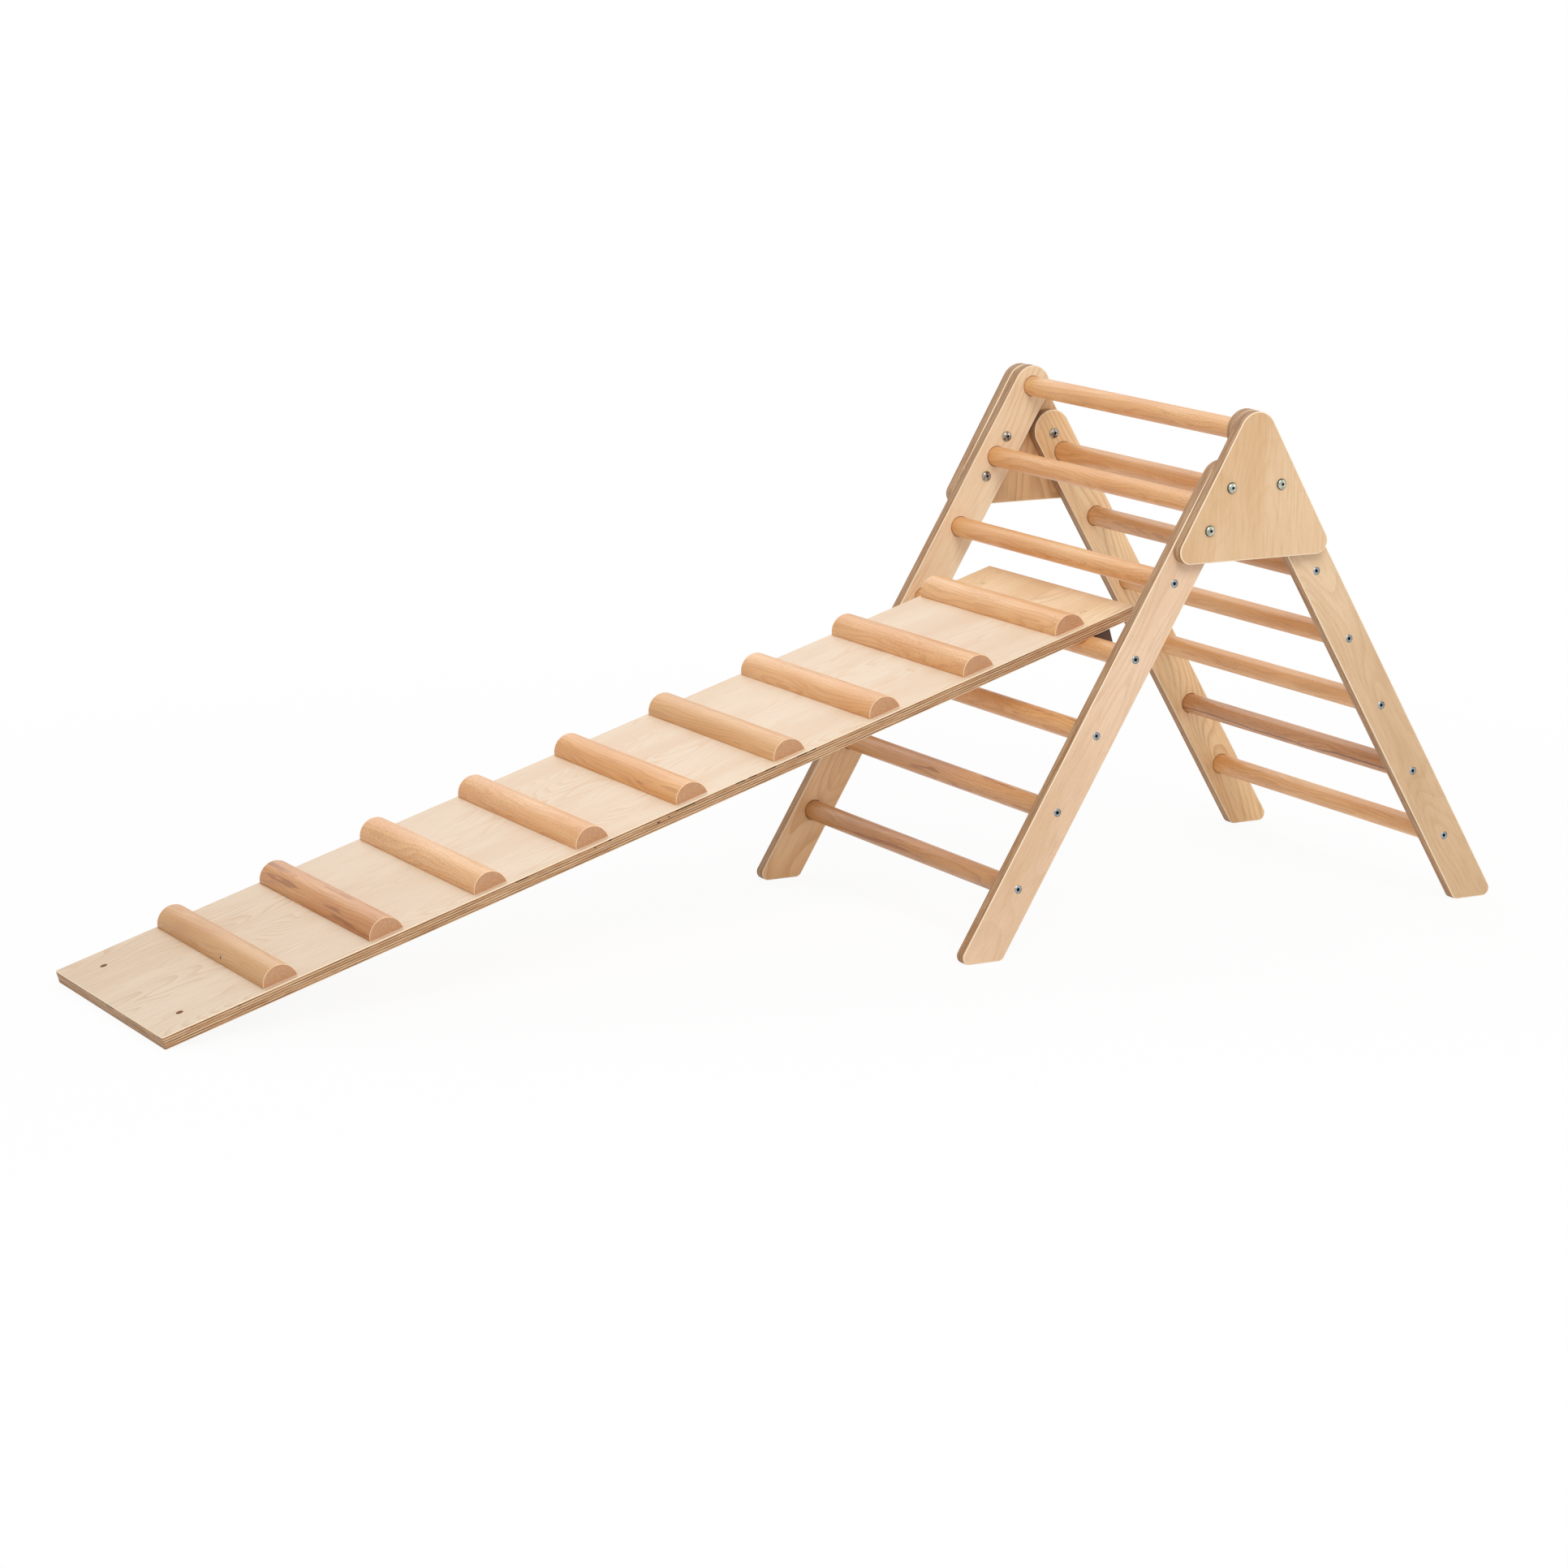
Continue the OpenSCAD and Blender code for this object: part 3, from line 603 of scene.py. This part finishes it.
for number, name in enumerate(["top_rung"] + FRONT_RUNGS + REAR_RUNGS):
    middle = axis_of(name)
    points, faces = turned(bar_radii, bar_along, middle, (0, 1, 0), (1, 0, 0))
    smooth = np.array([len(f) == 4 for f in faces])
    finish = beech(name + "_beech", middle, 2.3 * number + 0.4, **RUNG_FIGURE.get(name, {}))
    mesh_piece(name + "_bar", "rear_ladder" if name in REAR_RUNGS else "front_frame", points, faces,
               np.zeros(len(faces)), smooth, [finish], [name])


# ---------------------------------------------------------------- rung screws
# Zinc-plated countersunk screws with hex sockets, sunk flush into the legs' outer faces, one at
# each end of every rung.

HEAD_SIDES = 48


def hexagon(across_flats):
    """Radii round a ring that follow a hexagon: half the width over flats, divided by the cosine of
    the angle from the nearest flat's middle."""
    angle = np.linspace(0, 360, HEAD_SIDES, endpoint=False)
    return across_flats / 2 / np.cos(np.radians((angle % 60) - 30))


def plated(name, colour, roughness, spots):
    """Bright plated steel: faintly clouded, with fine turning marks."""
    finish = Finish(name, Metallic=1.0)
    p = finish.place
    cloud = p.stretched(140, 140, 140).noise(3)
    worn = cloud.between(0.35, 0.7).over(colour, spots)
    rough = cloud * 0.16 + roughness
    marks = p.stretched(900, 900, 900).noise(2)
    return finish.feed(Base_Color=worn, Roughness=rough, height=marks, depth=0.00001)


zinc = plated("zinc_plate", paint(170, 180, 186), 0.2, paint(120, 130, 136))
# The socket finish is painted shade: a dark grey standing in for the shade inside each hex socket.
socket_painted_shade = plated("socket_painted_shade", paint(66, 68, 72), 0.4, paint(36, 37, 40))

# A head is three lists: the radii of its rings, how far each stands out of the wood, and the rings
# from which its next finish begins.
SOCKET = 0.0048
screw_head = ([0.001, 0.0032, HEAD_D / 2, HEAD_D / 2, HEAD_D / 2 - 0.0004, 0.0036, hexagon(SOCKET),
               hexagon(SOCKET * 0.96), 0.0006],
              [-0.045, -0.0034, -0.0012, -0.0003, 0.0, 0.00005, -0.0002, -0.0028, -0.0030],
              [6])


def joined(shapes):
    """Several closed surfaces as one set of points and faces: the numbers of each one's points go on
    from the last one's."""
    points, faces, count = [], [], 0
    for some, theirs in shapes:
        points.append(some)
        faces += [[v + count for v in face] for face in theirs]
        count += len(some)
    return np.concatenate(points), faces


def fastener_piece(name, body, places, head, finishes, node):
    """One turned head at each place: where it sits, the way it points out of the wood, and the way
    that a corner of its socket points."""
    radii, along, zones = head
    points, faces = joined([turned(radii, along, *place, HEAD_SIDES) for place in places])
    on_rings = np.searchsorted(zones, np.repeat(np.arange(len(along) - 1), HEAD_SIDES), side="right")
    one = np.concatenate([on_rings, np.zeros(HEAD_SIDES), np.full(HEAD_SIDES, len(zones))])
    piece = mesh_piece(name, body, points, faces, np.tile(one, len(places)), np.ones(len(faces)),
                       finishes, [node])
    piece.data.set_sharp_from_angle(angle=math.radians(35))


def heads_on_legs(names):
    """Places on the legs' outer faces, over the ends of the named rungs, each turned differently."""
    places = []
    for number, name in enumerate(names):
        x, _, z = axis_of(name)
        for side in (-1, 1):
            spin = 0.7 * number + 0.4 * side
            place = (x, side * (CLEAR / 2 + BOARD), z)
            places.append((place, (0, side, 0), (math.cos(spin), 0, math.sin(spin))))
    return places


for name, body, rungs in (("front_rung", "front_frame", FRONT_RUNGS),
                          ("rear_rung", "rear_ladder", REAR_RUNGS),
                          ("top_rung", "front_frame", ["top_rung"])):
    fastener_piece(name + "_screw_heads", body, heads_on_legs(rungs), screw_head, [zinc, socket_painted_shade],
                   name + "_screws")


# ---------------------------------------------------------------- apex block
# A plywood disc in line with the near legs. It is screwed to the side plate from inside and carries
# the near end of the top rung.

UPRIGHT = 90
BLOCK_D = 0.063
BLOCK_SCREWS = (-0.0225, 0.0225)
SMALL_HEAD_D, SMALL_HEAD_GAP = 0.008, 0.0001
rim = circle(72)
pockets = [(0, 0, RUNG_D / 2 + SEAT_GAP, SEAT, -1, 2)]
pockets += [(dx, 0, SMALL_HEAD_D / 2 + SMALL_HEAD_GAP, HEAD_SEAT, -1, 2) for dx in BLOCK_SCREWS]
points, faces, which, smooth = routed_board(rim * BLOCK_D / 2, rim, 0, BOARD, ARRIS, pockets)
sideways, up, out = points.T
points = np.column_stack([APEX[0] + sideways, -(CLEAR / 2 + out), APEX[2] + up])
block_face = birch_face("apex_block_birch", LEG_BIRCH_SHADED_AT_FOOT["front_leg_near"][1], UPRIGHT, APEX, seed=21.0)
block_edge = ply_edge("apex_block_plies", UPRIGHT, APEX, depth_from_y(CLEAR / 2), seed=21.0)
mesh_piece("apex_block_disc", "front_frame", points, faces, which, smooth,
           [block_face, block_edge, bored], ["apex_block"])

small_head = ([0.0006, 0.0022, SMALL_HEAD_D / 2, SMALL_HEAD_D / 2, SMALL_HEAD_D / 2 - 0.0004,
               hexagon(0.0026), hexagon(0.0024), 0.0004],
              [-0.02, -0.0026, -0.0011, -0.0003, 0.0, 0.0, -0.0014, -0.0016],
              [5])
fastener_piece("apex_block_screw_heads", "front_frame",
               [((APEX[0] + dx, -CLEAR / 2, APEX[2]), (0, 1, 0), (1, 0, 0)) for dx in BLOCK_SCREWS],
               small_head, [zinc, socket_painted_shade], "apex_block_screws")


# ---------------------------------------------------------------- side plates
# Two triangular plates of the same plywood, outside the legs, with round corners. Their face grain
# runs up and down, and the far one's is more marked. Its darker colours are painted shade, as its
# inner face is seen in the shade between the legs. Bolts clamp them to the front legs.

# The far plate's darker colours are painted shade.
PLATE_BIRCH_FAR_SHADED = {-1: (paint(224, 192, 154), paint(212, 174, 132), paint(194, 148, 102)),
               1: (paint(222, 184, 140), paint(204, 160, 114), paint(172, 122, 78))}
PLATE_GAP = 0.0001
PLATE_CORNER_R = 0.018
PLATE_STEEPER = 0.9
PLATE_INNER = CLEAR / 2 + BOARD + PLATE_GAP
PLATE_DROP = APEX[2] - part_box("side_plate_near")[0].z
PLATE_HALF = math.radians(LEAN - PLATE_STEEPER)
peak = LEG_W / 2 / math.sin(PLATE_HALF)
wide = (peak + PLATE_DROP) * math.tan(PLATE_HALF)
outline, normals = rounded([(-wide, -PLATE_DROP), (wide, -PLATE_DROP), (0, peak)],
                           [PLATE_CORNER_R, PLATE_CORNER_R, LEG_W / 2])
outline[:, 0] -= REAR_SET_IN / 2
for side, tag in ((-1, "near"), (1, "far")):
    points, faces, which, smooth = routed_board(outline, normals, 0, BOARD, ARRIS, [])
    sideways, up, out = points.T
    points = np.column_stack([APEX[0] + sideways, side * (PLATE_INNER + out), APEX[2] + up])
    face = birch_face(f"side_plate_{tag}_birch", PLATE_BIRCH_FAR_SHADED[side], UPRIGHT, APEX, seed=31.0 + 7 * side,
                      lines=40, veins=0.36 + 0.2 * side)
    edge = ply_edge(f"side_plate_{tag}_plies", UPRIGHT, APEX, depth_from_y(PLATE_INNER),
                    seed=33.0 + 5 * side)
    mesh_piece(f"side_plate_{tag}_board", "front_frame", points, faces, which, smooth, [face, edge],
               [f"side_plate_{tag}"])


# ---------------------------------------------------------------- bolts and sleeve nuts
# Domed bolts with hex sockets stand on the plates' outer faces, two over each front leg and one over
# each rear leg, and screw into sleeve nuts whose like domes show inside. The rear legs turn on theirs.

bright_plate = plated("bright_plate", paint(196, 197, 184), 0.12, paint(150, 153, 134))
# The bolts' dark shoulder ring is a painted reflection: dark plating standing in for the dark
# surroundings mirrored in the polished domes.
shoulder_dark_reflection = plated("shoulder_dark_reflection", paint(104, 106, 100), 0.16, paint(72, 74, 68))
# The sleeve nuts' domes are a painted reflection too: a darker pinkish grey standing in for the wood
# mirrored in them, inside a rim of the bright plating.
nut_wood_reflection = plated("nut_wood_reflection", paint(164, 154, 146), 0.14, paint(116, 106, 98))

# A dome's radii follow the cosine of an angle that runs from its rim to its socket, and its heights
# the sine. The rim stands a little off the wood.
DOME_D, DOME_H, DOME_RIM, DOME_SWEEP = 0.016, 0.0041, 0.0002, math.radians(70)
dome_angle = np.linspace(0, DOME_SWEEP, 8)
dome_r = np.cos(dome_angle) * DOME_D / 2
dome_z = np.sin(dome_angle) / math.sin(DOME_SWEEP) * DOME_H + DOME_RIM
socket_z = DOME_H + np.array([0.0001, -0.0001, -0.0024, -0.0026])
dome = ([0.003, DOME_D / 2 - 0.0004, *dome_r, 0.0026, hexagon(0.0042), hexagon(0.0040), 0.0005],
        [-0.012, 0.0, *dome_z, *socket_z],
        [5, 11])


def leg_point(at, side):
    """The x and z of a point up a leg's centre line: the apex, less what is left of the leg, leaning
    to its side. Side is -1 in front and 1 at the rear."""
    left = TOP_AT - at
    return APEX[0] + side * left * LEAN_SIN - (REAR_SET_IN if side > 0 else 0), APEX[2] - left * LEAN_COS


front_bolts = [leg_point(rung_at(6) + d, -1) for d in (-BOLT_OFFSET, BOLT_OFFSET)]
pivots = [leg_point(rung_at(6) + BOLT_OFFSET, 1)]
for tag, spots in (("plate", front_bolts), ("pivot", pivots)):
    outside, inside = [], []
    for number, (x, z) in enumerate(spots):
        for side in (-1, 1):
            spin = 0.5 + 0.9 * number + 0.3 * side
            turn_to = (math.cos(spin), 0, math.sin(spin))
            outside.append(((x, side * (PLATE_INNER + BOARD), z), (0, side, 0), turn_to))
            inside.append(((x, side * CLEAR / 2, z), (0, -side, 0), turn_to))
    fastener_piece(tag + "_bolt_domes", "front_frame", outside, dome,
                   [shoulder_dark_reflection, bright_plate, socket_painted_shade], tag + "_bolts")
    fastener_piece(tag + "_nut_domes", "front_frame", inside, dome,
                   [bright_plate, nut_wood_reflection, socket_painted_shade], tag + "_sleeve_nuts")


# ---------------------------------------------------------------- ramp board
# A plank of the same plywood, 384 mm wide, its face grain running up the ramp. A pair of sunk screw
# holes near the foot is spare, and a like pair at the top holds the batten underneath.

RAMP_L, RAMP_W, RAMP_CORNER_R = 1.545, 0.384, 0.003
# The ramp's face colours from foot to top. The duller, darker foot colours are painted shade. The deeper
# warm tan at the top end is painted shade and warm light bounced off the legs and rungs around it. The
# middle ones are the plain birch.
RAMP_FOOT_SHADED_BIRCH = (paint(225, 202, 175), paint(218, 191, 160), paint(196, 158, 120))
RAMP_MIDDLE_BIRCH = (paint(237, 216, 191), paint(231, 205, 176), paint(222, 180, 134))
RAMP_TOP_BOUNCE_BIRCH = (paint(250, 222, 184), paint(241, 207, 163), paint(208, 162, 114))
# Voids in the ramp's edge plies, drawn as dark slits of painted shade.
RAMP_GAPS = [(0.109, 0.115, 9.4), (0.525, 0.546, 9.3), (0.647, 0.651, 9.0), (0.745, 0.751, 6.5),
             (0.763, 0.767, 7.2), (0.776, 0.808, 9.3)]

# The slope is the cleats' own. The board's box starts at the upper end of its end face, and its lower
# face meets the floor where the arris ends.
board_low, board_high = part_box("ramp_board")
lowest_cleat, highest_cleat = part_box("ramp_cleat_1")[0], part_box("ramp_cleat_9")[0]
slope = math.atan2(highest_cleat.z - lowest_cleat.z, highest_cleat.x - lowest_cleat.x)
ramp_tilt = math.degrees(slope)
UP_RAMP = np.array([math.cos(slope), 0, math.sin(slope)])
ACROSS_RAMP = np.array([0, 1, 0])
OFF_RAMP = np.array([-math.sin(slope), 0, math.cos(slope)])
RAMP_FOOT = np.array([board_low.x + (BOARD - ARRIS) * math.sin(slope),
                      (board_low.y + board_high.y) / 2, -ARRIS * math.sin(slope)])
HOLE_INSET, HOLE_FROM_EDGE = 0.050, 0.057
HOLE_Y = RAMP_W / 2 - HOLE_FROM_EDGE
HOLE_R, HOLE_SINK = 0.005, 0.009


def ramp_point(x, y, z):
    """The place that lies x up the ramp from its foot, y across it and z off its underside."""
    return RAMP_FOOT + x * UP_RAMP + y * ACROSS_RAMP + z * OFF_RAMP


def on_ramp(points):
    """Takes points drawn flat, as x, y and z of the ramp, to their places."""
    return ramp_point(*points.T[:, :, None])


half = RAMP_W / 2
outline, normals = rounded([(0, -half), (RAMP_L, -half), (RAMP_L, half), (0, half)],
                           [RAMP_CORNER_R] * 4, step=15)
holes = [(x, side * HOLE_Y, HOLE_R, HOLE_SINK, 1, wall)
         for x, wall in ((HOLE_INSET, 2), (RAMP_L - HOLE_INSET, 3)) for side in (-1, 1)]
points, faces, which, smooth = routed_board(outline, normals, 0, BOARD, ARRIS, holes)
ramp_face = birch_face("ramp_birch", RAMP_FOOT_SHADED_BIRCH, ramp_tilt, RAMP_FOOT, seed=47.0, lines=90,
                       veins=0.45, further=[(0.0, 0.9, RAMP_MIDDLE_BIRCH), (1.38, 1.5, RAMP_TOP_BOUNCE_BIRCH)])
ramp_edge = ply_edge("ramp_plies", ramp_tilt, RAMP_FOOT, lambda finish, p: p.part("Z"), seed=0.0,
                     gaps=RAMP_GAPS)
# Two copies of the same bored end grain. The darker one, for the holes at the foot, is painted shade.
# The pale cream one, for the top holes, is painted light on their walls.
shaded_bored = bored_wood("shaded_bored_plywood", paint(176, 134, 98), paint(120, 82, 54))
lit_bored = bored_wood("lit_bored_plywood", paint(246, 222, 186), paint(226, 190, 146))
mesh_piece("ramp_plank", "ramp", on_ramp(points), faces, which, smooth,
           [ramp_face, ramp_edge, shaded_bored, lit_bored], ["ramp_board"])


# ---------------------------------------------------------------- cleats
# Nine half-round beech cleats, ripped from 50 mm rod and screwed on from below. Their ends show
# pinkish end grain with fine rays.

CLEAT_D, CLEAT_H = 0.050, 0.023
LOWEST_CLEAT, CLEAT_PITCH = 0.178, 0.158
CLEAT_NEAR, CLEAT_FAR = -RAMP_W / 2 + 0.012, RAMP_W / 2 - 0.005
CLEAT_EASE = 0.0007


def half_round(at):
    """A bar whose section is a circle cut by a chord, carried along Y, drawn in by a small quarter
    circle at both ends. It lies flat on the board, at a distance up the ramp, and the two edges that
    lie on the board are drawn in along it."""
    centre_z = CLEAT_H - CLEAT_D / 2
    first = math.asin(-centre_z / (CLEAT_D / 2))
    angle = np.linspace(first, math.pi - first, 41)
    arc = np.column_stack([np.cos(angle), np.sin(angle)])
    section = arc * CLEAT_D / 2 + np.array([0, centre_z])
    outward = arc.copy()
    outward[0], outward[-1] = (0.8, 0), (-0.8, 0)
    inset, along = eased(CLEAT_NEAR, CLEAT_FAR, CLEAT_EASE, rim=0.002, steps=3)
    rings = section[None] - inset[:, None, None] * outward[None]
    rings[:, :, 1] = np.maximum(rings[:, :, 1], 0)
    n = len(section)
    run = np.broadcast_to(along[:, None], rings.shape[:2])
    points = np.stack([rings[:, :, 0] + at, run, rings[:, :, 1] + BOARD], -1).reshape(-1, 3)
    quads = net(len(along), n)
    flat = np.tile(np.arange(n) == n - 1, len(along) - 1)
    last = (len(along) - 1) * n
    faces = quads.tolist() + [list(range(n)), list(range(last + n - 1, last - 1, -1))]
    return points, faces, np.concatenate([np.zeros(len(quads)), [1, 1]]), np.concatenate([~flat, [0, 0]])


def end_grain(name, seed, centre):
    """Beech cut across: faint year rings crossed by fine pale rays, and dark pores."""
    finish = Finish(name, Roughness=0.6, Specular_IOR_Level=0.3)
    p = finish.along(ramp_tilt, centre)
    ray = p.stretched(1500, 1, 110).shifted((seed, 0, seed)).noise(1)
    rings = p.shifted((0.012 * math.sin(seed * 9), 0, 0.03)).stretched(1, 0, 1).length() * 420
    pore = p.stretched(1300, 1300, 1300).noise(0)
    year = rings.maths("FRACT").between(0.2, 1.0)
    ringed = (year * 0.5).over(paint(198, 151, 114), paint(170, 121, 84))
    rayed = (ray.between(0.5, 0.66) * 0.35).over(ringed, paint(218, 180, 142))
    pored = (pore.between(0.58, 0.7) * 0.4).over(rayed, paint(142, 96, 70))
    return finish.feed(Base_Color=pored, height=ray, depth=0.00003)


CLEAT_MIDDLE = (CLEAT_NEAR + CLEAT_FAR) / 2
CLEAT_HALF = (CLEAT_FAR - CLEAT_NEAR) / 2
CLEAT_FIGURE = {
    1: {"tone": (paint(214, 163, 103), paint(201, 143, 82), paint(176, 115, 58)), "ray": 0.85,
        "knot": (-0.0246, -0.04, 0.002)},
    2: {"tone": (paint(217, 156, 92), paint(202, 135, 72), paint(156, 90, 42)),
        "heart": 0.59, "ray": 0.8},
    3: {"ray": 0.42},
    4: {"ray": 0.45},
    5: {"tone": (paint(238, 180, 114), paint(226, 162, 94), paint(184, 116, 58)),
        "heart": 0.7, "ray": 0.8},
    6: {"tone": (paint(236, 186, 130), paint(224, 170, 110), paint(188, 130, 76)), "ray": 0.8},
    8: {"ray": 0.45},
}
cleat_places = [LOWEST_CLEAT + k * CLEAT_PITCH for k in range(9)]
for n, at in enumerate(cleat_places, 1):
    points, faces, which, smooth = half_round(at)
    middle = ramp_point(at, CLEAT_MIDDLE, BOARD)
    figure = CLEAT_FIGURE.get(n, {})
    finish = beech(f"ramp_cleat_{n}_beech", middle, 40 + 3.1 * n, highlit_ends=CLEAT_HALF, **figure)
    mesh_piece(f"ramp_cleat_{n}_bar", "ramp", on_ramp(points), faces, which, smooth,
               [finish, end_grain(f"ramp_cleat_{n}_end", 1.9 * n, middle)], [f"ramp_cleat_{n}"])

SCREW_INSET = 0.060
screw_places = [(ramp_point(at, y, 0), -OFF_RAMP, ACROSS_RAMP)
                for at in cleat_places for y in (CLEAT_NEAR + SCREW_INSET, CLEAT_FAR - SCREW_INSET)]
fastener_piece("ramp_cleat_screw_heads", "ramp", screw_places, small_head, [zinc, socket_painted_shade],
               "ramp_cleat_screws")


# ---------------------------------------------------------------- hook batten
# A batten across the underside of the ramp's top end, drawn dark brown as painted shade, since it lies
# in the shade under the ramp. It drops behind the fourth rung, and two screws from the top face hold it.

HOOK_AT, HOOK_W, HOOK_H, HOOK_L = RAMP_L - HOLE_INSET, 0.024, 0.030, RAMP_W - 0.030
HOOK_EASE = 0.0008
half = HOOK_W / 2
outline, normals = rounded([(-half, -HOOK_H), (half, -HOOK_H), (half, 0), (-half, 0)],
                           [0.002, 0.002, 0.0012, 0.0012], step=15)
points, faces, which, smooth = routed_board(outline, normals, -HOOK_L / 2, HOOK_L / 2, HOOK_EASE, [])
points = np.column_stack([points[:, 0] + HOOK_AT, points[:, 2], points[:, 1]])


def shaded_dark_wood(name):
    """Oiled wood, its grain along Y, with open pores, drawn dark brown as painted shade."""
    finish = Finish(name, Roughness=0.5, Specular_IOR_Level=0.4)
    p = finish.place
    cloud = p.stretched(60, 6, 60).noise(3, 0.6)
    pore = p.stretched(900, 60, 900).noise(2).between(0.52, 0.72)
    base = cloud.between(0.3, 0.7).over(paint(104, 70, 52), paint(66, 42, 32))
    pored = (pore * 0.6).over(base, paint(40, 25, 20))
    return finish.feed(Base_Color=pored, height=cloud - pore, depth=0.0001)


hook_wood = shaded_dark_wood("hook_shaded_wood")
mesh_piece("ramp_hook_batten", "ramp", on_ramp(points), faces, np.zeros(len(faces)), smooth, [hook_wood],
           ["ramp_hook"])

pan_head = ([0.0008, 0.0022, 0.0045, 0.0045, 0.0040, 0.0028, hexagon(0.0036), hexagon(0.0034), 0.0004],
            [-0.028, 0.0, 0.0001, 0.0020, 0.0028, 0.0030, 0.0029, 0.0012, 0.0010],
            [6])
fastener_piece("ramp_hook_screw_heads", "ramp",
               [(ramp_point(HOOK_AT, side * HOLE_Y, BOARD - HOLE_SINK), OFF_RAMP, ACROSS_RAMP)
                for side in (-1, 1)],
               pan_head, [zinc, socket_painted_shade], "ramp_hook_screws")
